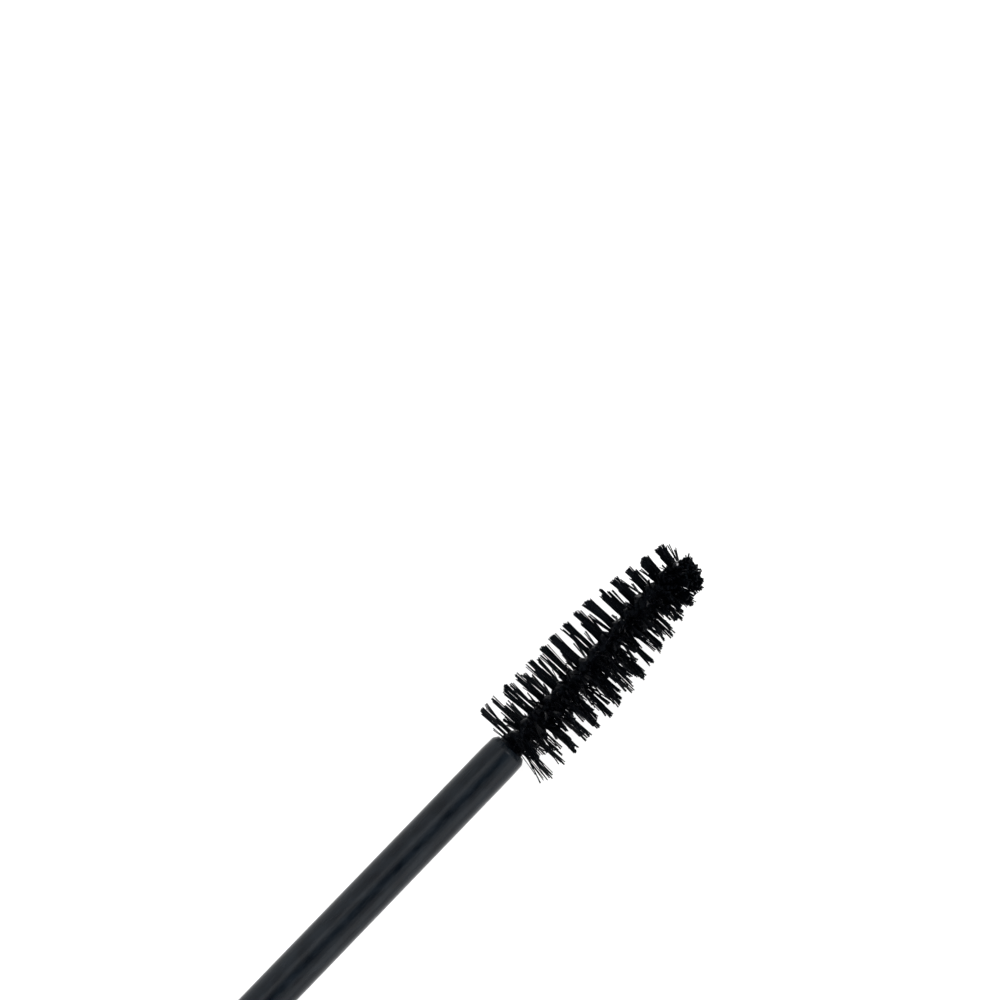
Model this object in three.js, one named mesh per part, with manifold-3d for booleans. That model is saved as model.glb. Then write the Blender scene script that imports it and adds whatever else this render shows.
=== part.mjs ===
// A mascara laid open on a table: a round tube with its wiper, and the wand that belongs in it.
// Both lie on one line along X, so pushing the wand towards -X puts the brush back in the tube.
//
// Frame: millimetres, +Z up, origin at the centre of the tube's flat base, +X along the tube's axis
// towards the cap. Stations along X are given for the closed mascara. The wand is then drawn out by
// WAND_OUT, and the loose gasket by a thread's travel less, because it hangs free under the cap's roof.

import * as THREE from 'three';
import { mergeVertices } from 'three/addons/utils/BufferGeometryUtils.js';
import Module from 'manifold-3d';

const wasm = await Module();
wasm.setup();

// ---------------------------------------------------------------- driving dimensions

const SIDES = 32; // facets round every turned piece, with a flat one underneath
const BODY_R = 9; // outer radius of the tube and of the cap
const SHELL_WALL = 0.8;
const FIT = 0.05; // radial gap of a press fit
const EDGE = 0.5; // rounding of the outer ends

const CASE_TOP = 83; // top of the outer case
const COLLAR_TOP = CASE_TOP + 2.2;
const LIP = CASE_TOP + 13; // mouth of the neck
const CAP_RIM = COLLAR_TOP + 0.2;
const CAP_TOP = 140;

const VIAL_R = 8;
const VIAL_WALL = 1;
const NECK_R = 6;
const NECK_BORE_R = 4.7;

const NECK_THREAD = LIP - 8.1; // where the middle of the neck's thread starts
const THREAD_LEAD = 2.5;
const THREAD_TURNS = 1.25; // of each thread, on the neck and in the cap
const THREAD_HEIGHT = 0.75;
const THREAD_FOOT = 1.3; // width at the wall
const THREAD_CREST = 0.6;
const THREAD_TRAVEL = 1.5 * THREAD_LEAD; // one and a half turns close it

const STEM_LENGTH = 65.5; // from the cap's roof to the brush
const STEM_END_R = 2.06; // the shank tapers, as a moulded rod does
const STEM_ROOT_R = 2.15;
const BRUSH_LENGTH = 25.6;
const BRUSH_R = 4.9;
const BRUSH_TIP_R = 2.75;
const TWIST_LEAD = 3.36; // of the twisted wire, so a row of bristles every 1.68 mm
const WIRE_R = 0.29;
const ORIFICE_R = 2.2; // the wiper's lip, at the size to which the stem stretches it

const MOUTH_TO_TIP = 60; // clear space between the wiper and the brush, as laid out

// ---------------------------------------------------------------- stations that follow

const WIPER_FLANGE = 0.7;
const GASKET = 1;
const GASKET_FACE = LIP + 2 * FIT + WIPER_FLANGE;
const ROOF = GASKET_FACE + GASKET + FIT;
const STEM_END = ROOF - STEM_LENGTH;
const BRUSH_TIP = STEM_END - BRUSH_LENGTH;
const WAND_OUT = LIP + FIT + WIPER_FLANGE + MOUTH_TO_TIP - BRUSH_TIP;
const SHELL_BORE_R = BODY_R - SHELL_WALL;

// ---------------------------------------------------------------- shaping helpers

// A solid of revolution about X from [station, radius] pairs, which either start and end on the axis or
// go once round the section of a ring.
function turned(profile) {
  const area = profile.reduce((sum, [x, r], i) => {
    const [nextX, nextR] = profile[(i + 1) % profile.length];
    return sum + x * nextR - nextX * r;
  }, 0);
  const outline = area < 0 ? [...profile] : [...profile].reverse();
  if (profile.every(([, r]) => r > 0)) outline.push(outline[0]);
  const points = outline.map(([x, r]) => new THREE.Vector2(r, x));
  const geometry = new THREE.LatheGeometry(points, SIDES, Math.PI / SIDES);
  return geometry.rotateZ(-Math.PI / 2);
}

// Points of a quarter-round corner from [x0, r0] to [x1, r1], bulging outwards from the centre given.
function corner([cx, cr], radius, fromDegrees, toDegrees, steps = 3) {
  return Array.from({ length: steps + 1 }, (_, i) => {
    const angle = THREE.MathUtils.degToRad(fromDegrees + ((toDegrees - fromDegrees) * i) / steps);
    return [cx + radius * Math.cos(angle), cr + radius * Math.sin(angle)];
  });
}

// A solid through rings of points, each ring the same outline further along, closed by flat ends.
// Every side face is split from its corner nearer the axis, so thin twisted walls stay even.
function lofted(rings, outline) {
  const sides = outline.length;
  const faces = [];
  for (let i = 0; i + 1 < rings.length; i += 1) {
    for (let j = 0; j < sides; j += 1) {
      const k = (j + 1) % sides;
      const [a, b] = [i * sides + j, i * sides + k];
      const nearer = Math.hypot(...rings[i][j].slice(1)) < Math.hypot(...rings[i][k].slice(1));
      if (nearer) faces.push(a, b, b + sides, a, b + sides, a + sides);
      else faces.push(a, b, a + sides, b, b + sides, a + sides);
    }
  }
  const last = (rings.length - 1) * sides;
  for (const [a, b, c] of THREE.ShapeUtils.triangulateShape(outline, [])) {
    faces.push(c, b, a, a + last, b + last, c + last);
  }
  const geometry = new THREE.BufferGeometry();
  geometry.setAttribute('position', new THREE.Float32BufferAttribute(rings.flat(2), 3));
  geometry.setIndex(faces);
  return geometry;
}

// The point at a station and a polar place about X. Zero degrees is +Y, and 90 degrees is +Z.
function polar(x, radius, angle) {
  return [x, radius * Math.cos(angle), radius * Math.sin(angle)];
}

function solidOf(geometry) {
  const bare = geometry.clone();
  bare.deleteAttribute('normal');
  bare.deleteAttribute('uv');
  const merged = mergeVertices(bare, 1e-3);
  const index = merged.getIndex().array;
  const faces = [];
  for (let i = 0; i < index.length; i += 3) {
    const [a, b, c] = index.subarray(i, i + 3);
    if (a !== b && b !== c && c !== a) faces.push(a, b, c);
  }
  return new wasm.Manifold(new wasm.Mesh({
    numProp: 3,
    vertProperties: merged.getAttribute('position').array,
    triVerts: new Uint32Array(faces),
  }));
}

function geometryOf(solid) {
  const mesh = solid.getMesh();
  const geometry = new THREE.BufferGeometry();
  geometry.setAttribute('position', new THREE.Float32BufferAttribute(mesh.vertProperties, 3));
  geometry.setIndex(new THREE.BufferAttribute(mesh.triVerts, 1));
  return geometry;
}

function joined(first, second) {
  return geometryOf(solidOf(first).add(solidOf(second)));
}

// ---------------------------------------------------------------- the screw thread

// A right-hand ridge of trapezoid section. Its foot is sunk into the wall at wallR, and outward says
// whether it stands out from a neck or in from a bore. Closed, the cap's ridge lies half a lead
// under the neck's.
function threadRidge(firstStation, wallR, outward) {
  const sink = 0.3;
  const away = outward ? 1 : -1;
  const section = [
    [-THREAD_FOOT / 2, wallR - away * sink],
    [THREAD_FOOT / 2, wallR - away * sink],
    [THREAD_FOOT / 2, wallR],
    [THREAD_CREST / 2, wallR + away * THREAD_HEIGHT],
    [-THREAD_CREST / 2, wallR + away * THREAD_HEIGHT],
    [-THREAD_FOOT / 2, wallR],
  ];
  if (!outward) section.reverse();
  const steps = Math.round(THREAD_TURNS * 24);
  const rings = Array.from({ length: steps + 1 }, (_, i) => {
    const turns = (THREAD_TURNS * i) / steps;
    const station = firstStation + turns * THREAD_LEAD;
    return section.map(([dx, r]) => polar(station + dx, r, 2 * Math.PI * turns));
  });
  return lofted(rings, section.map(([dx, r]) => new THREE.Vector2(dx, r)));
}

// ---------------------------------------------------------------- pieces of the tube

function basePlug() {
  const skirtTop = 4.6;
  const disc = 1.6;
  return turned([
    [0, 0],
    [0, BODY_R - EDGE],
    ...corner([EDGE, BODY_R - EDGE], EDGE, 180, 90).slice(1),
    [disc, BODY_R],
    [disc, SHELL_BORE_R - FIT],
    [skirtTop - 0.3, SHELL_BORE_R - FIT],
    [skirtTop, SHELL_BORE_R - 0.35],
    [skirtTop, 7.2],
    [disc, 7.2],
    [disc, 0],
  ]);
}

function caseShell() {
  const bottom = 1.65;
  return turned([
    [bottom, SHELL_BORE_R],
    [bottom, BODY_R - 0.15],
    [bottom + 0.15, BODY_R],
    [CASE_TOP - 0.15, BODY_R],
    [CASE_TOP, BODY_R - 0.15],
    [CASE_TOP, SHELL_BORE_R],
  ]);
}

function vial() {
  const bore = VIAL_R - VIAL_WALL;
  const bottle = turned([
    [2.4, 0],
    [2.4, 6.3],
    [3, 6.9],
    [4.8, 6.9],
    [5.9, VIAL_R],
    [CASE_TOP - 0.8, VIAL_R],
    [CASE_TOP, VIAL_R - 0.8],
    [CASE_TOP, NECK_R],
    [LIP - 0.3, NECK_R],
    [LIP, NECK_R - 0.3],
    [LIP, NECK_BORE_R],
    [CASE_TOP - 1, NECK_BORE_R],
    [CASE_TOP - 3.5, bore],
    [4.6, bore],
    [3.6, bore - 1],
    [3.6, 0],
  ]);
  return joined(bottle, threadRidge(NECK_THREAD, NECK_R, true));
}

function collarRing() {
  const bore = NECK_R + THREAD_HEIGHT + 0.1; // it drops on over the thread
  return turned([
    [CASE_TOP + FIT, bore],
    [CASE_TOP + FIT, BODY_R - 0.2],
    [CASE_TOP + 0.25, BODY_R],
    [COLLAR_TOP - 0.3, BODY_R],
    [COLLAR_TOP, BODY_R - 0.3],
    [COLLAR_TOP, bore],
  ]);
}

function wiper() {
  const outer = NECK_BORE_R - 2 * FIT;
  const bore = 4;
  const flange = LIP + FIT;
  return turned([
    [flange + WIPER_FLANGE, bore + 0.1],
    [flange + WIPER_FLANGE, 5.6],
    [flange, 5.6],
    [flange, outer],
    [LIP - 8.4, outer],
    [LIP - 9.2, outer - 0.25],
    [LIP - 12.6, ORIFICE_R + 0.5],
    [LIP - 13.5, ORIFICE_R + 0.4],
    [LIP - 13.5, ORIFICE_R],
    [LIP - 12.4, ORIFICE_R],
    [LIP - 8.4, bore - 0.1],
  ]);
}

// The paste that lines the vial round the hollow that the brush leaves.
function formula() {
  const outer = VIAL_R - VIAL_WALL - 2 * FIT;
  const hollow = 5.4;
  const top = CASE_TOP - 9;
  return turned([
    [3.7, 0],
    [3.7, outer - 1],
    [4.7, outer],
    [top, outer],
    [top - 0.8, 6.4],
    [top - 1, hollow],
    [6, hollow],
    [5.2, 4.3],
    [5, 0],
  ]);
}

// ---------------------------------------------------------------- pieces of the wand

function capShell() {
  const top = CAP_TOP - 1.65;
  return turned([
    [CAP_RIM, SHELL_BORE_R + 0.15],
    [CAP_RIM, BODY_R - 0.25],
    [CAP_RIM + 0.25, BODY_R],
    [top - 0.15, BODY_R],
    [top, BODY_R - 0.15],
    [top, SHELL_BORE_R],
    [CAP_RIM + 0.15, SHELL_BORE_R],
  ]);
}

const SOCKET_R = 3.15;
const STEM_HEAD = 11.6; // length of the stem's pressed-in head
const LINER_TOP = CAP_TOP - 15;
const WEIGHT_TOP = CAP_TOP - 6.2;

function capLiner() {
  const outer = SHELL_BORE_R - FIT;
  const threadBore = NECK_R + 1;
  const rim = CAP_RIM + 0.5;
  const postR = 4.6;
  const body = turned([
    [LINER_TOP - 4, 0],
    [LINER_TOP - 4, SOCKET_R],
    [ROOF, SOCKET_R],
    [ROOF, threadBore],
    [rim + 0.2, threadBore],
    [rim, threadBore + 0.2],
    [rim, outer],
    [ROOF + 1.7, outer],
    [ROOF + 1.7, postR],
    [LINER_TOP - 2, postR],
    [LINER_TOP - 2, outer],
    [LINER_TOP, outer],
    [LINER_TOP, 0],
  ]);
  return joined(body, threadRidge(NECK_THREAD - THREAD_LEAD / 2, threadBore, false));
}

function capWeight() {
  const bottom = LINER_TOP + 0.3;
  const radius = SHELL_BORE_R - 0.3;
  return turned([
    [bottom, 0],
    [bottom, radius - 0.4],
    [bottom + 0.4, radius],
    [WEIGHT_TOP - 0.4, radius],
    [WEIGHT_TOP, radius - 0.4],
    [WEIGHT_TOP, 0],
  ]);
}

function capEndDisc() {
  const underside = CAP_TOP - 1.6;
  const skirt = WEIGHT_TOP + 0.4;
  return turned([
    [underside, 0],
    [underside, 7.2],
    [skirt, 7.2],
    [skirt, SHELL_BORE_R - 0.35],
    [skirt + 0.3, SHELL_BORE_R - FIT],
    [underside, SHELL_BORE_R - FIT],
    [underside, BODY_R],
    ...corner([CAP_TOP - EDGE, BODY_R - EDGE], EDGE, 90, 0),
    [CAP_TOP, 0],
  ]);
}

function capGasket() {
  return turned([
    [GASKET_FACE, 2.4],
    [GASKET_FACE, 6.45],
    [GASKET_FACE + 0.2, 6.65],
    [GASKET_FACE + GASKET - 0.2, 6.65],
    [GASKET_FACE + GASKET, 6.45],
    [GASKET_FACE + GASKET, 2.4],
  ]);
}

const WIRE_SEAT_R = 0.85;
const WIRE_SEAT = 9.6; // depth of the hole that holds the wire

function stem() {
  const headR = SOCKET_R - FIT;
  const headTop = ROOF + STEM_HEAD;
  return turned([
    [STEM_END + WIRE_SEAT, 0],
    [STEM_END + WIRE_SEAT, WIRE_SEAT_R],
    [STEM_END, WIRE_SEAT_R],
    [STEM_END, STEM_END_R - 0.55],
    [STEM_END + 0.12, STEM_END_R - 0.3],
    [STEM_END + 0.4, STEM_END_R - 0.08],
    [STEM_END + 0.8, STEM_END_R],
    [ROOF + FIT, STEM_ROOT_R],
    [ROOF + FIT, headR - 0.15],
    [ROOF + 0.8, headR],
    [headTop - 0.5, headR],
    [headTop, headR - 0.5],
    [headTop, 0],
  ]);
}

// Radius of the trimmed bristles at a distance from the stem: straight, then tapering to the tip.
function brushRadius(distance) {
  const straight = 13;
  const share = Math.max(0, (distance - straight) / (BRUSH_LENGTH - straight));
  return BRUSH_R - (BRUSH_R - BRUSH_TIP_R) * share ** 1.5;
}

function twistAngle(station) {
  return (2 * Math.PI * (STEM_END - station)) / TWIST_LEAD;
}

// One length of wire, folded at the tip and twisted on itself so that its two legs grip the bristles.
function wireCore() {
  const legOffset = 0.42;
  const root = STEM_END + WIRE_SEAT - 0.4;
  const fold = BRUSH_TIP + WIRE_R + legOffset;
  const steps = Math.round(((root - fold) / TWIST_LEAD) * 10);
  const ringAt = (centre, outward, along) => {
    const across = new THREE.Vector3().crossVectors(along, outward);
    return Array.from({ length: 6 }, (_, i) => {
      const angle = (i * Math.PI) / 3;
      return centre.clone()
        .addScaledVector(outward, WIRE_R * Math.cos(angle))
        .addScaledVector(across, WIRE_R * Math.sin(angle))
        .toArray();
    });
  };
  const leg = (side, from, to) => Array.from({ length: steps + 1 }, (_, i) => {
    const station = from + ((to - from) * i) / steps;
    const angle = twistAngle(station) + (side * Math.PI) / 2;
    const outward = new THREE.Vector3(...polar(0, 1, angle));
    const slope = (-2 * Math.PI * legOffset) / TWIST_LEAD;
    const along = new THREE.Vector3(1, -slope * Math.sin(angle), slope * Math.cos(angle));
    along.normalize().multiplyScalar(Math.sign(to - from));
    return ringAt(new THREE.Vector3(...polar(station, legOffset, angle)), outward, along);
  });
  const foldAngle = twistAngle(fold) + Math.PI / 2;
  const bend = [30, 60, 90, 120, 150].map((degrees) => {
    const turn = THREE.MathUtils.degToRad(degrees);
    const outward = new THREE.Vector3(...polar(-Math.sin(turn), Math.cos(turn), foldAngle));
    const along = new THREE.Vector3(...polar(-Math.cos(turn), -Math.sin(turn), foldAngle));
    const centre = new THREE.Vector3(fold, 0, 0).addScaledVector(outward, legOffset);
    return ringAt(centre, outward, along);
  });
  const hexagon = Array.from({ length: 6 }, (_, i) => new THREE.Vector2(
    Math.cos((i * Math.PI) / 3),
    Math.sin((i * Math.PI) / 3),
  ));
  return lofted([...leg(1, root, fold), ...bend, ...leg(-1, fold, root)], hexagon);
}

// The field of bristles that runs through the wire's twist, as the one spiral leaf that it fills.
function bristles() {
  const coreHalf = 0.05;
  const leafHalf = 0.26;
  const first = BRUSH_TIP + 1.2;
  const last = STEM_END - 0.15;
  const steps = Math.round(((last - first) / TWIST_LEAD) * 16);
  const halfSection = (radius) => [
    [-radius, -leafHalf],
    [-1.1, -leafHalf],
    [-0.8, -coreHalf],
    [0, -coreHalf],
    [0.8, -coreHalf],
    [1.1, -leafHalf],
    [radius, -leafHalf],
  ];
  const section = (radius) => [
    ...halfSection(radius),
    ...halfSection(radius).map(([s, t]) => [-s, -t]),
  ];
  const rings = Array.from({ length: steps + 1 }, (_, i) => {
    const station = first + ((last - first) * i) / steps;
    const angle = twistAngle(station);
    return section(brushRadius(STEM_END - station)).map(([s, t]) => [
      station,
      s * Math.cos(angle) - t * Math.sin(angle),
      s * Math.sin(angle) + t * Math.cos(angle),
    ]);
  });
  return lofted(rings, section(BRUSH_R).map(([s, t]) => new THREE.Vector2(s, t)));
}

// ---------------------------------------------------------------- materials

const material = (color, roughness, metalness = 0) => new THREE.MeshStandardMaterial({
  color,
  roughness,
  metalness,
});
const BLACK_LACQUER = material(0x101114, 0.22);
const BLACK_PLASTIC = material(0x17191c, 0.45);
const BRUSHED_METAL = material(0xb9babd, 0.3, 1);
const WIPER_PLASTIC = material(0x2a2b2e, 0.5);
const STEM_PLASTIC = material(0x292d32, 0.35);
const WIRE_STEEL = material(0x8d8f93, 0.3, 1);
const NYLON = material(0x0f1013, 0.4);
const PASTE = material(0x08080a, 0.25);
const FOAM = material(0xd8d8d4, 0.8);

// ---------------------------------------------------------------- assembly

function node(name, geometry, look) {
  const mesh = new THREE.Mesh(geometry, look);
  mesh.name = name;
  return mesh;
}

const tube = new THREE.Group();
tube.add(
  node('base_plug', basePlug(), BLACK_LACQUER),
  node('case_shell', caseShell(), BLACK_LACQUER),
  node('vial', vial(), BLACK_PLASTIC),
  node('collar_ring', collarRing(), BRUSHED_METAL),
  node('wiper', wiper(), WIPER_PLASTIC),
  node('formula', formula(), PASTE),
);

// Unscrewing by one and a half turns leaves the wand half a turn round from its closed place.
const wand = new THREE.Group();
wand.position.x = WAND_OUT;
wand.rotation.x = Math.PI;
wand.add(
  node('cap_shell', capShell(), BLACK_LACQUER),
  node('cap_end_disc', capEndDisc(), BLACK_LACQUER),
  node('cap_liner', capLiner(), BLACK_PLASTIC),
  node('cap_weight', capWeight(), WIRE_STEEL),
  node('stem', stem(), STEM_PLASTIC),
  node('wire_core', wireCore(), WIRE_STEEL),
  node('bristles', bristles(), NYLON),
);

const gasket = node('cap_gasket', capGasket(), FOAM);
gasket.position.x = WAND_OUT - THREAD_TRAVEL;

const mascara = new THREE.Group();
mascara.add(tube, wand, gasket);

export default mascara;
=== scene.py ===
import math

import bmesh
import bpy
import numpy as np
from mathutils import Matrix, Vector, noise


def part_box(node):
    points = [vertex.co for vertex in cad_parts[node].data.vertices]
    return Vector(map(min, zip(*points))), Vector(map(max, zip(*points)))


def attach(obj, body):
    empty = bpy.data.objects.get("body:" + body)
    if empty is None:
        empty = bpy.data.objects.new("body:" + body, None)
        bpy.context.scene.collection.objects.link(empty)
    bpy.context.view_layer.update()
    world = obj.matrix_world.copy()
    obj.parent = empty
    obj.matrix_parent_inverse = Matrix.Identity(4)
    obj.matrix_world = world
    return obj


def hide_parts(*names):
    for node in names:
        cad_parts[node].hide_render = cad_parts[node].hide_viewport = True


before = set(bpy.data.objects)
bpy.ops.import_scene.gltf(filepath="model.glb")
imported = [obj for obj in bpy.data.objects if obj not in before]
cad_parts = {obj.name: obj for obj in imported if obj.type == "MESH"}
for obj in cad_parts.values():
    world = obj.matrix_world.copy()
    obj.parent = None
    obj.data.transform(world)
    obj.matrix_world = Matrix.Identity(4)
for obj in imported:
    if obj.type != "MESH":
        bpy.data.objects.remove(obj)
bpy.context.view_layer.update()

# The open mascara: a tube, and its wand laid in line with it. Objects are in metres in the CAD's frame,
# with +X along the common axis from the tube's base to the cap's end. Sizes below are in mm.

MM = 0.001
FACETS = 32  # the CAD's round pieces have this many sides
SEGMENTS = 96  # round pieces are redrawn with this many
CORNER_STEPS = 5  # along each rounded corner of an outline
SHARP_ANGLE = math.radians(38)  # edges sharper than this stay crisp


def span(node):
    """A turned CAD node's first and last station and its radius, in mm."""
    low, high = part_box(node)
    return low.x / MM, high.x / MM, high.z / MM / math.cos(math.pi / FACETS)


FIT = 0.05  # gap of a press fit
THREAD_LEAD = 2.5
THREAD_TRAVEL = 1.5 * THREAD_LEAD  # the wand lies with its cap unscrewed by this much
STEM_END = span("stem")[0]
BRUSH_TIP = span("wire_core")[0]
BRUSH_LENGTH = STEM_END - BRUSH_TIP
CASE_TOP = span("case_shell")[1]
MOUTH = span("vial")[1]
ROOF = span("cap_gasket")[1] + THREAD_TRAVEL + FIT  # of the cap, over the mouth
FLOOR = -span("case_shell")[2] * MM  # in metres

# ---------------------------------------------------------------- camera

# The camera looks straight down on the brush. Distances are in mm on the wand's own level.
PICTURE_WIDTH = 100
LENS = 120
SENSOR = 36
AIM_PAST_STEM = 17.07  # the picture's middle, along the wand from the stem's end towards the tip
AIM_ASIDE = 17.99  # and sideways from the wand
AXIS_RISE = math.radians(46.03)  # how steeply the wand rises across the picture


def add_camera():
    data = bpy.data.cameras.new("camera")
    data.lens = LENS
    data.sensor_width = SENSOR
    data.clip_start = 0.01
    data.clip_end = 20
    camera = bpy.data.objects.new("camera", data)
    bpy.context.scene.collection.objects.link(camera)
    tipward = Vector((-1, 0, 0))
    aside = Vector((0, -1, 0))
    right = tipward * math.cos(AXIS_RISE) - aside * math.sin(AXIS_RISE)
    up = tipward * math.sin(AXIS_RISE) + aside * math.cos(AXIS_RISE)
    back = right.cross(up)
    aim = Vector(((STEM_END - AIM_PAST_STEM) * MM, -AIM_ASIDE * MM, 0))
    turn = Matrix((right, up, back)).transposed()
    distance = PICTURE_WIDTH * MM * LENS / SENSOR
    camera.matrix_world = Matrix.Translation(aim + back * distance) @ turn.to_4x4()
    bpy.context.scene.camera = camera


# ---------------------------------------------------------------- materials


class Nodes:
    """A short way to write a material's node tree."""

    def __init__(self, name):
        self.material = bpy.data.materials.new(name)
        self.material.use_nodes = True
        self.tree = self.material.node_tree
        self.shader = self.tree.nodes["Principled BSDF"]

    def add(self, kind, inputs=None, **settings):
        node = self.tree.nodes.new(kind)
        for key, value in settings.items():
            setattr(node, key, value)
        for key, value in (inputs or {}).items():
            if isinstance(value, bpy.types.NodeSocket):
                self.tree.links.new(value, node.inputs[key])
            else:
                node.inputs[key].default_value = value
        return node

    def place(self, stretch):
        """Object coordinates in mm, stretched by a factor along each axis."""
        where = self.add("ShaderNodeTexCoord").outputs["Object"]
        scale = [1 / (MM * s) for s in stretch]
        return self.add("ShaderNodeMapping", {"Vector": where, "Scale": scale}).outputs["Vector"]

    def grain(self, size, stretch=(1, 1, 1), detail=3):
        """Noise with features of about that size in mm."""
        inputs = {"Vector": self.place(stretch), "Scale": 1 / size, "Detail": detail}
        return self.add("ShaderNodeTexNoise", inputs).outputs["Fac"]

    def cells(self, size):
        """Distance from the middle of round cells of about that size in mm."""
        inputs = {"Vector": self.place((1, 1, 1)), "Scale": 1 / size}
        return self.add("ShaderNodeTexVoronoi", inputs).outputs["Distance"]

    def ranged(self, value, low, high, start=0.3, end=0.7):
        """A value that runs from low to high while the given one runs from start to end."""
        inputs = {"Value": value, "From Min": start, "From Max": end, "To Min": low, "To Max": high}
        return self.add("ShaderNodeMapRange", inputs).outputs["Result"]

    def blend(self, factor, first, second):
        """A colour between two, both linear."""
        mix = self.add("ShaderNodeMix", data_type="RGBA")
        self.tree.links.new(factor, mix.inputs["Factor"])
        mix.inputs["A"].default_value = (*first, 1)
        mix.inputs["B"].default_value = (*second, 1)
        return mix.outputs["Result"]

    def bump(self, height, distance, strength, under=None):
        """A normal for a relief of that depth in mm, laid over another one if there is one."""
        inputs = {"Height": height, "Distance": distance * MM, "Strength": strength}
        if under:
            inputs["Normal"] = under
        return self.add("ShaderNodeBump", inputs).outputs["Normal"]

    def finish(self, **sockets):
        """The material, with the shader's sockets set or linked."""
        for key, value in sockets.items():
            socket = self.shader.inputs[key.replace("_", " ")]
            if isinstance(value, bpy.types.NodeSocket):
                self.tree.links.new(value, socket)
            else:
                socket.default_value = value
        return self.material


def lacquer():
    n = Nodes("black_lacquer")
    rubbed = n.grain(0.12, stretch=(14, 1, 1), detail=5)
    haze = n.ranged(rubbed, 0.09, 0.2, start=0.4, end=0.8)
    tone = n.blend(n.grain(2.5), (0.006, 0.006, 0.007), (0.009, 0.009, 0.011))
    skin = n.bump(n.grain(1.6, detail=1), 0.006, 0.5)
    gloss = {"Specular_IOR_Level": 0.27, "Coat_Weight": 0.15, "Coat_Roughness": 0.06}
    return n.finish(Base_Color=tone, Roughness=haze, Normal=skin, **gloss)


def moulded_black():
    n = Nodes("moulded_black_plastic")
    tone = n.blend(n.grain(1.2), (0.008, 0.009, 0.010), (0.014, 0.015, 0.017))
    rough = n.ranged(n.grain(0.7), 0.34, 0.46)
    skin = n.bump(n.grain(0.12, detail=2), 0.01, 0.5)
    return n.finish(Base_Color=tone, Roughness=rough, Normal=skin, Specular_IOR_Level=0.3)


def stem_plastic():
    n = Nodes("stem_plastic")
    flow = n.grain(0.5, stretch=(9, 1, 1), detail=4)
    mottle = n.ranged(n.grain(1.0, stretch=(2.5, 1, 1), detail=5), 0, 1, start=0.36, end=0.64)
    tone = n.blend(mottle, (0.0018, 0.0034, 0.0056), (0.0064, 0.0094, 0.0132))
    rough = n.ranged(n.grain(0.35, stretch=(4, 1, 1)), 0.14, 0.3)
    streaks = n.bump(flow, 0.032, 0.65)
    skin = n.bump(n.grain(0.13, detail=2), 0.007, 0.7, under=streaks)
    return n.finish(Base_Color=tone, Roughness=rough, Normal=skin, Specular_IOR_Level=0.137)


def collar_metal():
    n = Nodes("turned_aluminium")
    rings = n.grain(0.05, stretch=(1, 40, 40), detail=4)
    tone = n.blend(rings, (0.36, 0.36, 0.37), (0.52, 0.52, 0.53))
    rough = n.ranged(rings, 0.2, 0.36)
    skin = n.bump(rings, 0.006, 0.5)
    return n.finish(Base_Color=tone, Roughness=rough, Normal=skin, Metallic=1.0)


def weight_steel():
    n = Nodes("plain_steel")
    scale = n.grain(0.8, detail=5)
    tone = n.blend(scale, (0.36, 0.36, 0.37), (0.52, 0.51, 0.50))
    rough = n.ranged(scale, 0.28, 0.5)
    return n.finish(Base_Color=tone, Roughness=rough, Normal=n.bump(scale, 0.02, 0.4), Metallic=1.0)


def wiper_plastic():
    n = Nodes("soft_wiper_plastic")
    tone = n.blend(n.grain(0.8), (0.020, 0.021, 0.023), (0.034, 0.035, 0.038))
    rough = n.ranged(n.grain(0.5), 0.36, 0.52)
    skin = n.bump(n.grain(0.2, detail=2), 0.01, 0.5)
    return n.finish(Base_Color=tone, Roughness=rough, Normal=skin)


def gasket_foam():
    n = Nodes("gasket_foam")
    cells = n.cells(size=1 / 9)
    tone = n.blend(cells, (0.66, 0.66, 0.63), (0.80, 0.80, 0.77))
    rough = n.ranged(n.grain(0.4), 0.75, 0.9)
    return n.finish(Base_Color=tone, Roughness=rough, Normal=n.bump(cells, 0.05, 0.6))


# The wet formula is as dark as ink, and what it reflects is a little blue.
INK_GLOSS = {"Specular_IOR_Level": 0.05, "Specular_Tint": (0.68, 0.81, 1.0, 1)}


def wet_paste():
    n = Nodes("wet_paste")
    lumps = n.grain(0.28, detail=4)
    tone = n.blend(lumps, (0.0001, 0.0002, 0.0005), (0.0006, 0.0009, 0.0017))
    rough = n.ranged(n.grain(0.2), 0.16, 0.4)
    skin = n.bump(lumps, 0.08, 0.8)
    return n.finish(Base_Color=tone, Roughness=rough, Normal=skin, **INK_GLOSS)


def coated_fibre():
    n = Nodes("coated_nylon")
    lumps = n.grain(0.16, detail=3)
    tone = n.blend(n.grain(0.5), (0.0001, 0.0003, 0.0006), (0.0007, 0.0011, 0.0021))
    rough = n.ranged(n.grain(0.3), 0.2, 0.45)
    skin = n.bump(lumps, 0.03, 0.7)
    return n.finish(Base_Color=tone, Roughness=rough, Normal=skin, **INK_GLOSS)


def wire_steel():
    n = Nodes("smeared_wire")
    smear = n.grain(0.6, detail=4)
    smeared = n.ranged(smear, 0, 1, start=0.4, end=0.5)
    tone = n.blend(smeared, (0.40, 0.40, 0.41), (0.004, 0.004, 0.005))
    metal = n.ranged(smear, 1, 0, start=0.4, end=0.5)
    rough = n.ranged(n.grain(0.3), 0.24, 0.42)
    return n.finish(Base_Color=tone, Roughness=rough, Normal=n.bump(smear, 0.02, 0.5), Metallic=metal)


def paper():
    n = Nodes("pale_floor")
    tone = n.blend(n.grain(30), (0.965, 0.965, 0.965), (0.98, 0.98, 0.98))
    rough = n.ranged(n.grain(8), 0.85, 0.95)
    return n.finish(Base_Color=tone, Roughness=rough, Specular_IOR_Level=0.1)


# ---------------------------------------------------------------- meshes


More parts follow.
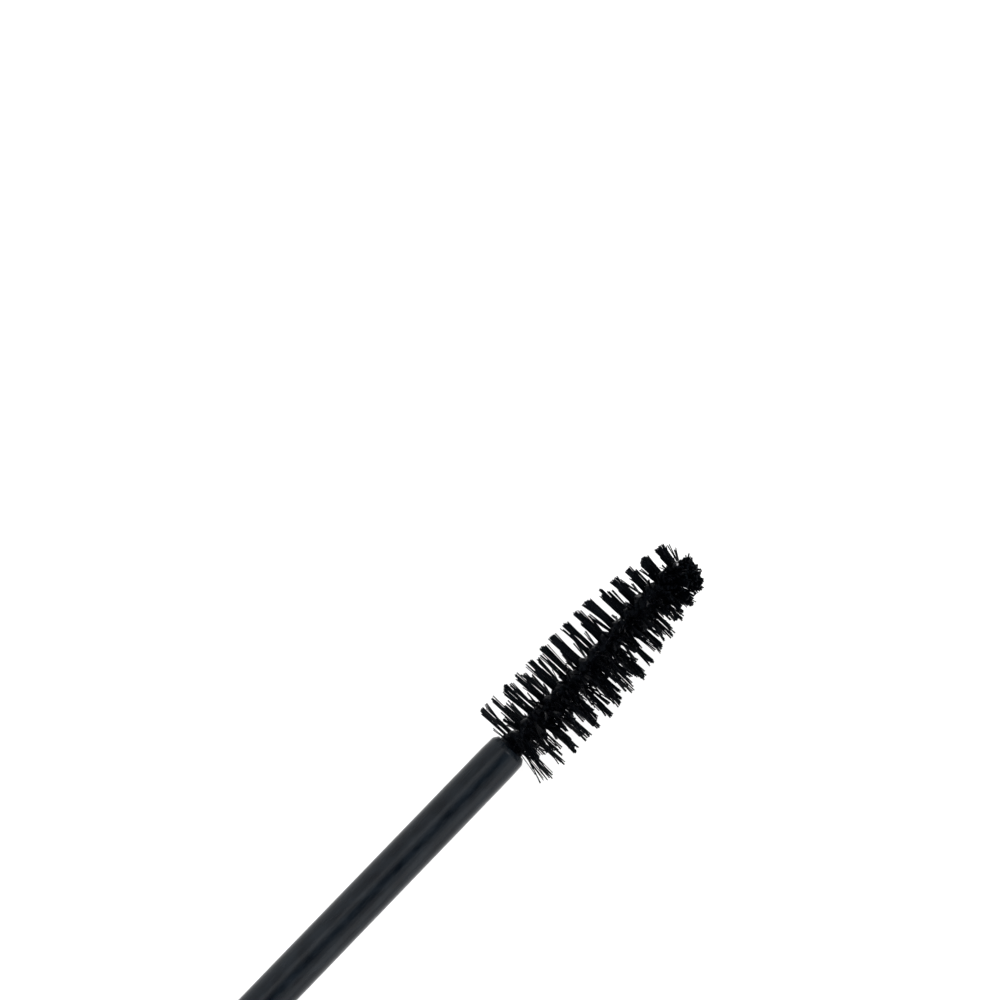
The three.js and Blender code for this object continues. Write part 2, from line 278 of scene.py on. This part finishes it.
def add_piece(name, vertices, faces, material, body, slot, nodes=()):
    """A closed smooth mesh, with vertices in mm, that rides on a body."""
    mesh = bpy.data.meshes.new(name)
    mesh.from_pydata([Vector(v) * MM for v in vertices], [], faces)
    shaped = bmesh.new()
    shaped.from_mesh(mesh)
    bmesh.ops.recalc_face_normals(shaped, faces=shaped.faces)
    shaped.to_mesh(mesh)
    shaped.free()
    mesh.shade_smooth()
    mesh.set_sharp_from_angle(angle=SHARP_ANGLE)
    mesh.materials.append(material)
    piece = bpy.data.objects.new(name, mesh)
    bpy.context.scene.collection.objects.link(piece)
    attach(piece, body)
    if nodes:
        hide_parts(*nodes)
    return piece


def rounded(points, ring):
    """An outline of (station, radius, rounding) corners, as points with every corner rounded off."""
    outline = []
    for i, (x, r, rounding) in enumerate(points):
        here = np.array((x, r), float)
        if not rounding or (not ring and i in (0, len(points) - 1)):
            outline.append(here)
            continue
        back = np.array(points[i - 1][:2], float) - here
        ahead = np.array(points[(i + 1) % len(points)][:2], float) - here
        back /= np.linalg.norm(back)
        ahead /= np.linalg.norm(ahead)
        half = math.acos(np.clip(back @ ahead, -1, 1)) / 2
        centre = here + (back + ahead) / np.linalg.norm(back + ahead) * rounding / math.sin(half)
        first = here + back * rounding / math.tan(half) - centre
        last = here + ahead * rounding / math.tan(half) - centre
        sweep = math.pi - 2 * half
        for t in np.linspace(0, 1, CORNER_STEPS + 1):
            spoke = (math.sin((1 - t) * sweep) * first + math.sin(t * sweep) * last) / math.sin(sweep)
            outline.append(centre + spoke)
    return outline


def turned(points):
    """Vertices and faces of a solid of revolution about X. Its outline starts and ends on the axis, or is
    a ring's section."""
    ring = all(r > 0 for _, r, _ in points)
    outline = rounded(points, ring)
    vertices, rows, faces = [], [], []
    for x, r in outline:
        if r < 1e-6:
            rows.append([len(vertices)] * SEGMENTS)
            vertices.append((x, 0, 0))
            continue
        rows.append(list(range(len(vertices), len(vertices) + SEGMENTS)))
        for k in range(SEGMENTS):
            angle = 2 * math.pi * k / SEGMENTS
            vertices.append((x, r * math.cos(angle), r * math.sin(angle)))
    pairs = list(zip(rows, rows[1:]))
    if ring:
        pairs.append((rows[-1], rows[0]))
    for near, far in pairs:
        for k in range(SEGMENTS):
            m = (k + 1) % SEGMENTS
            corners = dict.fromkeys((near[k], near[m], far[m], far[k]))
            faces.append(tuple(corners))
    return vertices, faces


def add_turned(name, points, material, body, slot, nodes=()):
    return add_piece(name, *turned(points), material, body, slot, nodes)


def merged(*parts):
    """Several (vertices, faces) as one."""
    vertices, faces = [], []
    for more, turns in parts:
        offset = len(vertices)
        vertices.extend(more)
        faces.extend(tuple(i + offset for i in face) for face in turns)
    return vertices, faces


def tube_faces(rings, sides):
    """Faces of a closed tube of rings, each with that many vertices in a row."""
    faces = []
    for i in range(rings - 1):
        for k in range(sides):
            a, b = i * sides + k, i * sides + (k + 1) % sides
            faces.append((a, b, b + sides, a + sides))
    last = (rings - 1) * sides
    faces.append(tuple(range(sides - 1, -1, -1)))
    faces.append(tuple(range(last, last + sides)))
    return faces


def swept(path, radii, sides):
    """A closed round strand along a path, with a radius at each point and blunt ends."""
    path = np.asarray(path, float)
    along = np.gradient(path, axis=0)
    along /= np.linalg.norm(along, axis=1)[:, None]
    lead = np.eye(3)[np.argmin(np.abs(along).mean(axis=0))]
    first = lead - along * (along @ lead)[:, None]
    first /= np.linalg.norm(first, axis=1)[:, None]
    second = np.cross(along, first)
    angles = 2 * math.pi * np.arange(sides) / sides
    spokes = (first[:, None] * np.cos(angles)[:, None] + second[:, None] * np.sin(angles)[:, None])
    vertices = (path[:, None] + spokes * np.asarray(radii)[:, None, None]).reshape(-1, 3)
    return [tuple(v) for v in vertices], tube_faces(len(path), sides)


# ---------------------------------------------------------------- brush

# Distances along the brush are measured from the stem's end towards the tip, in mm.
ROW_STEP = 1.67  # the wire's half turn, so from one row of bristles to the next
FIRST_ROW = 0.88
TRIM_RADIUS = 4.85
TRIM_TIP_RADIUS = 2.7
TAPER_START = 12.6
LOWER_TRIM, UPPER_TRIM = 1.035, 1.003  # the lower side was trimmed a little longer
TIP_BEND = 0.34  # the wire leans this far aside towards its tip
BEND_START, BEND_END = 11, 19
FIBRE_SEED = 7
FIBRES_PER_MM = 27
FIBRE_RADIUS = 0.068
FIBRE_SIDES = 5
HALF_STEPS = 8  # of a fibre, from the core to one tip
FIRST_FIBRE = 0.25
BARE_TIP = 0.7  # length of the wire's fold that holds no fibres
LAST_ROWS = 3.6  # length of the last rows, which look full from all sides
LAST_ROWS_EXTRA = 120  # fibres
MATTED_STRANDS = 800
END_CLUMPS = 140
STRAND_STEPS = 6
STRAND_SIDES = 6
WIRE_OFFSET = 0.42  # of each leg of the wire from the twist's axis
WIRE_RADIUS = 0.29
WIRE_SIDES = 12


def share(value, start, end):
    """How far a value is from start to end, from 0 to 1."""
    return float(np.clip((value - start) / (end - start), 0, 1))


def trim(distance):
    """Radius of the trimmed brush."""
    return TRIM_RADIUS - (TRIM_RADIUS - TRIM_TIP_RADIUS) * share(distance, TAPER_START, BRUSH_LENGTH) ** 1.6


def twist(distance):
    """Angle about X of the bristles at a distance. At zero they lie level."""
    return math.pi * (distance - FIRST_ROW) / ROW_STEP


def on_brush(distance, radius, angle):
    """The point at a distance along the brush and a polar place about its slightly bent core."""
    t = share(distance, BEND_START, BEND_END)
    bend = -TIP_BEND * t * t * (3 - 2 * t)
    return np.array((STEM_END - distance, bend + radius * math.cos(angle), radius * math.sin(angle)))


def curve(first, middle, last, steps):
    """A curve that leaves its first point towards the middle one and reaches the last one from it."""
    t = np.linspace(0, 1, steps + 1)[:, None]
    return (1 - t) ** 2 * first + 2 * t * (1 - t) * middle + t**2 * last


def lumpy(rng, count, radius, amount):
    """Radii of a strand whose coating is uneven."""
    rough = rng.uniform(1 - amount, 1 + amount, count)
    smooth = np.convolve(np.pad(rough, 1, mode="edge"), (0.25, 0.5, 0.25), mode="valid")
    return radius * smooth


def thin_strand(rng, start, bow, end, thickness, unevenness):
    """A short coated strand through three points."""
    radii = lumpy(rng, STRAND_STEPS + 1, thickness, unevenness)
    return swept(curve(start, bow, end, STRAND_STEPS), radii, STRAND_SIDES)


def coating(distance):
    """How much paste the bristles carry: little next to the stem, and soon a full coat."""
    return share(distance, 0.6, 3.8)


class Bunch:
    """Neighbouring fibres that the paste holds together on one side, and where their tips meet.

    The bristles lie level once in each row. A bunch near that place is drawn into the row, and one that
    points up or down is loose: it strays, and more so the further it is from level."""

    LOWER_STEADY, UPPER_STEADY = 34, 42  # up to this many degrees from level, a bunch is all in its row
    LOOSE = 66  # and from this many it is all loose

    def __init__(self, rng, stations, members, side):
        self.members = members
        self.middle = float(np.mean([stations[i] for i in members]))
        self.coat = coating(self.middle)
        self.own = twist(self.middle) + side * math.pi
        self.lower = math.cos(self.own) > 0
        off_level = (self.own + math.pi / 2) % math.pi - math.pi / 2
        steady = self.LOWER_STEADY if self.lower else self.UPPER_STEADY
        loose = share(abs(math.degrees(off_level)), steady, self.LOOSE)
        pull = self.full_pull() * (1 - loose)
        self.angle = self.own - pull * off_level + rng.normal(0, 0.05 + 0.2 * loose)
        if math.sin(self.own) > 0:
            self.angle -= loose * rng.normal(0.4, 0.2)
        into_row = 0.45 * pull * off_level / math.pi * ROW_STEP
        self.tip = self.middle - into_row + self.lean(rng, loose)
        uneven = (LOWER_TRIM if self.lower else UPPER_TRIM) + rng.normal(0, 0.014)
        self.radius = trim(self.middle) * uneven - 0.25 * loose * abs(rng.normal(0, 1))
        if rng.random() < 0.13:
            self.radius *= rng.uniform(0.6, 0.95)
        self.fan = 1 + share(self.middle, BRUSH_LENGTH - 3, BRUSH_LENGTH - 1.6)

    def full_pull(self):
        """How strongly the paste draws a bunch into its row. The lower rows open up towards the tip."""
        return 0.34 - 0.24 * share(self.middle, 8, 13) if self.lower else 0.5

    def lean(self, rng, loose):
        """How far its tips lean towards the brush's tip. The first ones lean back over the stem."""
        sway = 0.085 + 0.38 * loose + (0.05 if self.lower else 0.0) + 0.12 * (1 - self.coat)
        back = -0.6 * max(0, 1 - self.middle / 1.6) if self.lower else -0.1
        forward = 0.5 * share(self.middle, 21, 25)
        if rng.random() < 0.07:
            sway += 0.35
        return rng.normal(0, sway) + back + forward

    def path(self, station, end, steps):
        """From the core to a tip, leaving the wire squarely and then leaning towards the bunch."""
        own = self.own + (twist(station) - twist(self.middle))
        bow_station = 0.55 * station + 0.45 * self.tip
        bow = on_brush(bow_station, self.radius * 0.5, 0.55 * own + 0.45 * self.angle)
        return curve(on_brush(station, 0, 0), bow, end, steps)


def bunches(rng, stations, side):
    """Splits the fibres into bunches: big where they are wet, small near the stem and on the lower side."""
    start = 0
    while start < len(stations):
        own = twist(stations[start]) + side * math.pi
        biggest = 2 + 4 * coating(stations[start]) - (1.6 if math.cos(own) > 0.5 else 0)
        size = max(1, int(rng.uniform(1.4, biggest + 1)))
        members = list(range(start, min(start + size, len(stations))))
        yield Bunch(rng, stations, members, side)
        start += size


def fibre_halves(rng, stations, side):
    """For each fibre, the path from the core to its tip on one side, and the paste in each bunch."""
    halves = [None] * len(stations)
    clots = []
    for bunch in bunches(rng, stations, side):
        across = np.array((0, -math.sin(bunch.angle), math.cos(bunch.angle)))
        outward = np.array((0, math.cos(bunch.angle), math.sin(bunch.angle)))
        centre = on_brush(bunch.tip, bunch.radius, bunch.angle)
        for place, i in enumerate(bunch.members):
            spread = rng.uniform(0.065, 0.135) * bunch.fan
            along = (place - (len(bunch.members) - 1) / 2) * spread + rng.normal(0, 0.03)
            end = centre - np.array((along, 0, 0)) + across * rng.normal(0, 0.07)
            short = abs(rng.normal(0, 0.09)) + (rng.uniform(0.2, 1.8) if rng.random() < 0.17 else 0)
            halves[i] = bunch.path(stations[i], end - outward * short, HALF_STEPS)
        if len(bunch.members) > 1 and bunch.coat > 0.3:
            clots.append(clot(rng, bunch))
    return halves, clots


def clot(rng, bunch):
    """The paste that fills a bunch from the core, over a third to a bit more than half of its length."""
    path = bunch.path(bunch.middle, on_brush(bunch.tip, bunch.radius, bunch.angle), 12)
    reach = int(rng.integers(4, 8))
    t = np.linspace(0, 1, reach + 1)
    width = (0.06 + 0.027 * len(bunch.members)) * bunch.coat
    radii = width * (1 - 0.8 * t**1.5) * rng.uniform(0.75, 1.25, reach + 1)
    return swept(path[: reach + 1], radii, 7)


def matted_strands(rng):
    """Stuck and broken fibres, heavy with paste, that fill the middle on the sides between the rows."""
    strands = []
    for _ in range(MATTED_STRANDS):
        distance = rng.uniform(0.15, BRUSH_LENGTH - 1.2)
        side = 62 if rng.random() < 0.62 else 280  # above, where they are thicker, or below
        angle = rng.normal(math.radians(side), 0.5)
        radius = rng.uniform(1.4, 3.6) * trim(distance) / TRIM_RADIUS
        lean = rng.normal(0.1, 0.5)
        start = on_brush(distance, 0.2, angle)
        bow = on_brush(distance + 0.2 * lean, radius * 0.6, angle + rng.normal(0.1, 0.2))
        end = on_brush(distance + lean, radius, angle + rng.normal(0, 0.2))
        thickness = rng.uniform(0.05, 0.115) * (0.6 + 0.4 * coating(distance))
        strands.append(thin_strand(rng, start, bow, end, thickness, 0.4))
    return strands


def end_strands(rng):
    """The last fibres, which the wire's fold splays forward and aside into one dense trimmed end."""
    strands = []
    for _ in range(END_CLUMPS):
        forward = math.radians(rng.uniform(-32, 90))
        around = rng.uniform(-2.6, 2.8)
        squeeze = 1 - 0.6 * max(0, -math.cos(around))
        reach = 2.75 * squeeze * max(0, math.cos(forward)) ** 0.6
        along = BRUSH_LENGTH - 2.3 + 2.85 * math.copysign(abs(math.sin(forward)) ** 0.85, forward)
        centre = on_brush(along, reach, around) + np.array((0, 0.45, 0))
        root = on_brush(min(BRUSH_LENGTH - BARE_TIP, along - 0.5), 0, 0)
        short = rng.uniform(0.0, 0.1)
        for _ in range(int(rng.integers(3, 8))):
            start = root + np.array((rng.uniform(0, 0.8), 0, 0))
            length = 1 - short - abs(rng.normal(0, 0.04))
            tip = start + (centre - start) * length + rng.normal(0, 0.075, 3)
            bow = 0.5 * (start + tip) + rng.normal(0, 0.12, 3)
            strands.append(thin_strand(rng, start, bow, tip, rng.uniform(0.06, 0.1), 0.35))
    return strands


def add_bristles(material):
    """All the fibres as one piece. It returns the paste on them, as parts for the paste's own piece."""
    rng = np.random.default_rng(FIBRE_SEED)
    last_fibre = BRUSH_LENGTH - BARE_TIP
    count = int((BRUSH_LENGTH - 1.1) * FIBRES_PER_MM)
    last_rows = rng.uniform(BRUSH_LENGTH - LAST_ROWS, last_fibre, LAST_ROWS_EXTRA)
    stations = np.sort(np.concatenate((rng.uniform(FIRST_FIBRE, last_fibre, count), last_rows)))
    near, near_clots = fibre_halves(rng, stations, 0)
    far, far_clots = fibre_halves(rng, stations, 1)
    strands = []
    for station, first, second in zip(stations, near, far):
        path = np.vstack((first[:0:-1], second))
        thickness = FIBRE_RADIUS * rng.uniform(0.8, 1.2) * (0.85 + 0.15 * coating(station))
        strands.append(swept(path, lumpy(rng, len(path), thickness, 0.3), FIBRE_SIDES))
    strands += end_strands(rng)
    add_piece("bristle_fibres", *merged(*strands), material, "wand", "bristle_nylon", ["bristles"])
    return near_clots + far_clots + matted_strands(rng)


def paste_sleeve():
    """A lumpy sleeve round the wire, thick where it plugs the stem's end."""
    steps, around = 260, 36
    vertices = []
    for i in range(steps + 1):
        distance = -0.02 + (BRUSH_LENGTH - 0.5) * i / steps
        ends = min(1, (steps - i) / 8) ** 0.5
        plug = 0.55 * max(0, 1 - distance / 0.8)
        for k in range(around):
            angle = 2 * math.pi * k / around
            leaf = math.cos(angle - twist(distance)) ** 2
            point = Vector(on_brush(distance, 1, angle))
            lump = noise.noise(point * 1.3) * 0.22 + noise.noise(point * 3.7) * 0.14
            radius = max(0.4, 0.9 + 0.28 * leaf + lump + plug) * ends
            vertices.append(tuple(on_brush(distance, max(radius, 0.02), angle)))
    return vertices, tube_faces(steps + 1, around)


def add_paste(clots, material):
    """The formula on the brush: the sleeve round the wire, and clots out along the bunches."""
    add_piece("brush_paste", *merged(paste_sleeve(), *clots), material, "wand", "formula_paste")


def add_wire(material):
    """One wire, folded at the tip and twisted on itself, whose ends sit in the stem."""
    root = 0.4 - WIRE_SEAT
    fold = BRUSH_LENGTH - WIRE_RADIUS - WIRE_OFFSET
    steps = int((fold - root) / (2 * ROW_STEP) * 24)
    distances = np.linspace(root, fold, steps + 1)
    leg = [on_brush(d, WIRE_OFFSET, twist(d) + math.pi / 2) for d in distances]
    other = [on_brush(d, WIRE_OFFSET, twist(d) - math.pi / 2) for d in distances]
    bend = []
    for turn in np.linspace(0, math.pi, 10)[1:-1]:
        d = fold + WIRE_OFFSET * math.sin(turn)
        bend.append(on_brush(d, WIRE_OFFSET * math.cos(turn), twist(fold) + math.pi / 2))
    path = leg + bend + other[::-1]
    strand = swept(path, [WIRE_RADIUS] * len(path), WIRE_SIDES)
    add_piece("twisted_wire", *strand, material, "wand", "wire_steel", ["wire_core"])


# ---------------------------------------------------------------- tube and wand

SOCKET_RADIUS = 3.1
WIRE_SEAT_RADIUS = 0.85
WIRE_SEAT = 9.6  # depth of the stem's hole for the wire
STEM_END_RADIUS = 2.08
STEM_ROOT_RADIUS = 2.16


def add_stem(material):
    start, end, _ = span("stem")
    points = [
        (start + WIRE_SEAT, 0, 0),
        (start + WIRE_SEAT, WIRE_SEAT_RADIUS, 0.1),
        (start, WIRE_SEAT_RADIUS, 0.12),
        (start, STEM_END_RADIUS - 0.42, 0.1),
        (start + 0.5, STEM_END_RADIUS - 0.06, 0.55),
        (start + 2.0, STEM_END_RADIUS, 1.5),
        (ROOF + FIT, STEM_ROOT_RADIUS, 0.15),
        (ROOF + FIT, SOCKET_RADIUS, 0.15),
        (end, SOCKET_RADIUS, 0.5),
        (end, 0, 0),
    ]
    add_turned("wand_stem", points, material, "wand", "stem_plastic", ["stem"])


SHELL_WALL = 0.8
SKIRT_GAP = 0.35  # how far a press-fitted skirt's mouth narrows
SKIRT_BORE = 7.2
DISC = 1.6  # thickness of the discs that close both ends
NECK_RADIUS = 6
NECK_BORE = 4.7
THREAD_BORE = 7
THREAD_TURNS = 1.25
THREAD_FADE = 14  # steps over which each end of a thread fades out
POST_RADIUS = 4.6


def thread(first, wall, away, start_angle):
    """A right-hand screw ridge with faded ends, its foot sunk in the wall. It stands out of the wall
    where away is 1, and in from it where away is -1."""
    flank = [(0.22, 0.75), (0.36, 0.66), (0.6, 0.06), (0.65, -0.2)]
    section = [(-along, height) for along, height in reversed(flank)] + flank
    steps = int(THREAD_TURNS * SEGMENTS)
    vertices = []
    for i in range(steps + 1):
        fade = min(1, i / THREAD_FADE, (steps - i) / THREAD_FADE) ** 0.5
        angle = start_angle + 2 * math.pi * i / SEGMENTS
        for along, height in section:
            rise = height * fade if height > 0 else height
            radius = wall + away * rise
            x = first + THREAD_LEAD * i / SEGMENTS + along
            vertices.append((x, radius * math.cos(angle), radius * math.sin(angle)))
    return vertices, tube_faces(steps + 1, len(section))


def add_shell(node, material, body):
    """The lacquered tube round the case or the cap."""
    start, end, radius = span(node)
    points = [
        (start, radius - SHELL_WALL, 0.1),
        (start, radius, 0.25),
        (end, radius, 0.25),
        (end, radius - SHELL_WALL, 0.1),
    ]
    add_turned("lacquered_" + node, points, material, body, "shell_lacquer", [node])


def add_end_disc(node, name, material, body, outer_end, inward):
    """A disc with a skirt that presses into a shell. Inward is the way along X into the shell."""
    start, end, radius = span(node)
    skirt = radius - SHELL_WALL - FIT
    length = end - start
    points = [
        (outer_end, 0, 0),
        (outer_end, radius, 0.5),
        (outer_end + inward * DISC, radius, 0.12),
        (outer_end + inward * DISC, skirt, 0.05),
        (outer_end + inward * (length - 0.3), skirt, 0.15),
        (outer_end + inward * length, skirt - SKIRT_GAP + FIT, 0.1),
        (outer_end + inward * length, SKIRT_BORE, 0.2),
        (outer_end + inward * DISC, SKIRT_BORE, 0.25),
        (outer_end + inward * DISC, 0, 0),
    ]
    add_turned(name, points, material, body, "shell_lacquer", [node])


def add_vial(material):
    start, mouth, outer = span("vial")
    bore = outer - 1
    points = [
        (start, 0, 0),
        (start, 6.9, 0.6),
        (start + 2.4, 6.9, 0.15),
        (start + 3.5, outer, 0.3),
        (CASE_TOP, outer, 0.8),
        (CASE_TOP, NECK_RADIUS, 0.25),
        (mouth, NECK_RADIUS, 0.25),
        (mouth, NECK_BORE, 0.15),
        (CASE_TOP - 1, NECK_BORE, 0.5),
        (CASE_TOP - 3.5, bore, 1.2),
        (start + 1.2, bore, 1.0),
        (start + 1.2, 0, 0),
    ]
    ridge = thread(mouth - 8.1, NECK_RADIUS, 1, 0)
    add_piece("vial_with_neck", *merged(turned(points), ridge), material, "tube", "inner_plastic", ["vial"])


def add_collar(material):
    start, end, radius = span("collar_ring")
    bore = NECK_RADIUS + 0.85
    middle = (start + end) / 2
    points = [
        (start, bore, 0.05),
        (start, radius, 0.18),
        (middle - 0.12, radius, 0.04),
        (middle, radius - 0.12, 0.03),
        (middle + 0.12, radius, 0.04),
        (end, radius, 0.3),
        (end, bore, 0.1),
    ]
    add_turned("collar_band", points, material, "tube", "collar_metal", ["collar_ring"])


def add_wiper(material):
    start, end, flange = span("wiper")
    outer = NECK_BORE - 2 * FIT
    lip = 2.2
    points = [
        (end, 4.1, 0.25),
        (end, flange, 0.2),
        (MOUTH + FIT, flange, 0.1),
        (MOUTH + FIT, outer, 0.05),
        (MOUTH - 8.4, outer, 0.3),
        (start + 0.9, lip + 0.5, 0.5),
        (start, lip + 0.35, 0.15),
        (start, lip, 0.1),
        (start + 1.1, lip, 0.4),
        (MOUTH - 8.4, 3.9, 1.5),
    ]
    add_turned("wiper_sleeve", points, material, "tube", "wiper_plastic", ["wiper"])


def add_formula(material):
    """The paste that lines the vial, with an uneven hollow where the brush goes in and out."""
    start, end, outer = span("formula")
    hollow = [(x, 5.4, 0) for x in np.arange(end - 1.2, start + 2.4, -0.5)]
    points = [
        (start, 0, 0),
        (start, outer, 1.0),
        (end, outer, 0.3),
        (end - 0.8, 6.4, 0),
        *hollow,
        (start + 1.6, 4.3, 0.5),
        (start + 1.3, 0, 0),
    ]
    vertices, faces = turned(points)
    uneven = []
    for x, y, z in vertices:
        reach = math.hypot(y, z)
        lump = 1.0
        if 3 < reach < outer - 0.3:
            lump += 0.05 * noise.noise(Vector((x, y, z)) * 0.8)
        uneven.append((x, y * lump, z * lump))
    add_piece("vial_lining_paste", uneven, faces, material, "tube", "formula_paste", ["formula"])


def add_cap_liner(material):
    rim, top, outer = span("cap_liner")
    points = [
        (top - 4, 0, 0),
        (top - 4, SOCKET_RADIUS + FIT, 0.2),
        (ROOF, SOCKET_RADIUS + FIT, 0.15),
        (ROOF, THREAD_BORE, 0.3),
        (rim, THREAD_BORE, 0.2),
        (rim, outer, 0.15),
        (ROOF + 1.7, outer, 0.3),
        (ROOF + 1.7, POST_RADIUS, 0.3),
        (top - 2, POST_RADIUS, 0.3),
        (top - 2, outer, 0.3),
        (top, outer, 0.3),
        (top, 0, 0),
    ]
    ridge = thread(rim + 0.75, THREAD_BORE, -1, math.pi)
    add_piece("cap_inner", *merged(turned(points), ridge), material, "wand", "inner_plastic", ["cap_liner"])


def add_weight(material):
    start, end, radius = span("cap_weight")
    points = [(start, 0, 0), (start, radius, 0.4), (end, radius, 0.4), (end, 0, 0)]
    add_turned("steel_weight", points, material, "ballast", "weight_steel", ["cap_weight"])


def add_gasket(material):
    start, end, radius = span("cap_gasket")
    bore = 2.4
    points = [(start, bore, 0.2), (start, radius, 0.2), (end, radius, 0.2), (end, bore, 0.2)]
    add_turned("foam_washer", points, material, "seal", "gasket_foam", ["cap_gasket"])


# ---------------------------------------------------------------- studio

# The surroundings are white but for a dark patch nearly overhead, which leaves a streak along the stem.
SURROUNDINGS = 1.35  # strength
DARK_PATCH = (0, 0.14, 0.99)  # the way to its middle
PATCH_EDGE, PATCH_CORE = 0.925, 0.985  # cosines of the angle from there
FLOOR_HALF = 6  # m


def add_surroundings():
    world = bpy.data.worlds.new("studio")
    bpy.context.scene.world = world
    world.use_nodes = True
    tree = world.node_tree
    background = tree.nodes["Background"]
    where = tree.nodes.new("ShaderNodeTexCoord")
    height = tree.nodes.new("ShaderNodeVectorMath")
    height.operation = "DOT_PRODUCT"
    height.inputs[1].default_value = DARK_PATCH
    ramp = tree.nodes.new("ShaderNodeMapRange")
    ramp.interpolation_type = "SMOOTHSTEP"
    tree.links.new(where.outputs["Generated"], height.inputs[0])
    tree.links.new(height.outputs["Value"], ramp.inputs["Value"])
    ramp.inputs["From Min"].default_value = PATCH_EDGE
    ramp.inputs["From Max"].default_value = PATCH_CORE
    ramp.inputs["To Min"].default_value = SURROUNDINGS
    ramp.inputs["To Max"].default_value = 0.0
    tree.links.new(ramp.outputs["Result"], background.inputs["Strength"])
    background.inputs["Color"].default_value = (1, 1, 1, 1)


def add_softbox(name, place, aim, size, power):
    """A rectangular light that the camera doesn't see. Places and size are in metres, power in watts."""
    data = bpy.data.lights.new(name, "AREA")
    data.shape = "RECTANGLE"
    data.size, data.size_y = size
    data.energy = power
    light = bpy.data.objects.new(name, data)
    light.visible_camera = False
    bpy.context.scene.collection.objects.link(light)
    light.location = place
    light.rotation_mode = "QUATERNION"
    light.rotation_quaternion = (Vector(aim) - Vector(place)).to_track_quat("-Z", "Y")


def add_floor(material):
    mesh = bpy.data.meshes.new("floor")
    quarters = [(-1, -1), (1, -1), (1, 1), (-1, 1)]
    corners = [(x * FLOOR_HALF, y * FLOOR_HALF, FLOOR) for x, y in quarters]
    mesh.from_pydata(corners, [], [(0, 1, 2, 3)])
    mesh.materials.append(material)
    floor = bpy.data.objects.new("floor", mesh)
    bpy.context.scene.collection.objects.link(floor)


def add_lights():
    stem_end = Vector((STEM_END * MM, 0, 0))
    brush = Vector(((STEM_END - BRUSH_LENGTH / 2) * MM, 0, 0))
    tip = Vector((BRUSH_TIP * MM, 0, 0))
    strip_place = stem_end + Vector((0, -0.4, 0.69))
    add_softbox("overhead_strip", strip_place, stem_end, size=(1.0, 0.2), power=0.8)
    side_place = stem_end + Vector((0, 0.72, 0.34))
    add_softbox("side_box", side_place, stem_end, size=(1.0, 0.45), power=1.5)
    add_softbox("tip_light", tip + Vector((-0.55, 0.05, 0.6)), brush, size=(0.14, 0.14), power=0.7)
    add_softbox("cap_light", stem_end + Vector((0.55, -0.05, 0.6)), brush, size=(0.14, 0.14), power=0.5)


bpy.context.scene.view_settings.view_transform = "Standard"
add_camera()
add_surroundings()
add_lights()
add_floor(paper())
paste = wet_paste()
shine = lacquer()
moulded = moulded_black()
add_paste(add_bristles(coated_fibre()), paste)
add_wire(wire_steel())
add_stem(stem_plastic())
add_shell("case_shell", shine, "tube")
add_end_disc("base_plug", "base_disc", shine, "tube", span("base_plug")[0], 1)
add_vial(moulded)
add_collar(collar_metal())
add_wiper(wiper_plastic())
add_formula(paste)
add_shell("cap_shell", shine, "wand")
add_end_disc("cap_end_disc", "cap_top_disc", shine, "wand", span("cap_end_disc")[1], -1)
add_cap_liner(moulded)
add_weight(weight_steel())
add_gasket(gasket_foam())
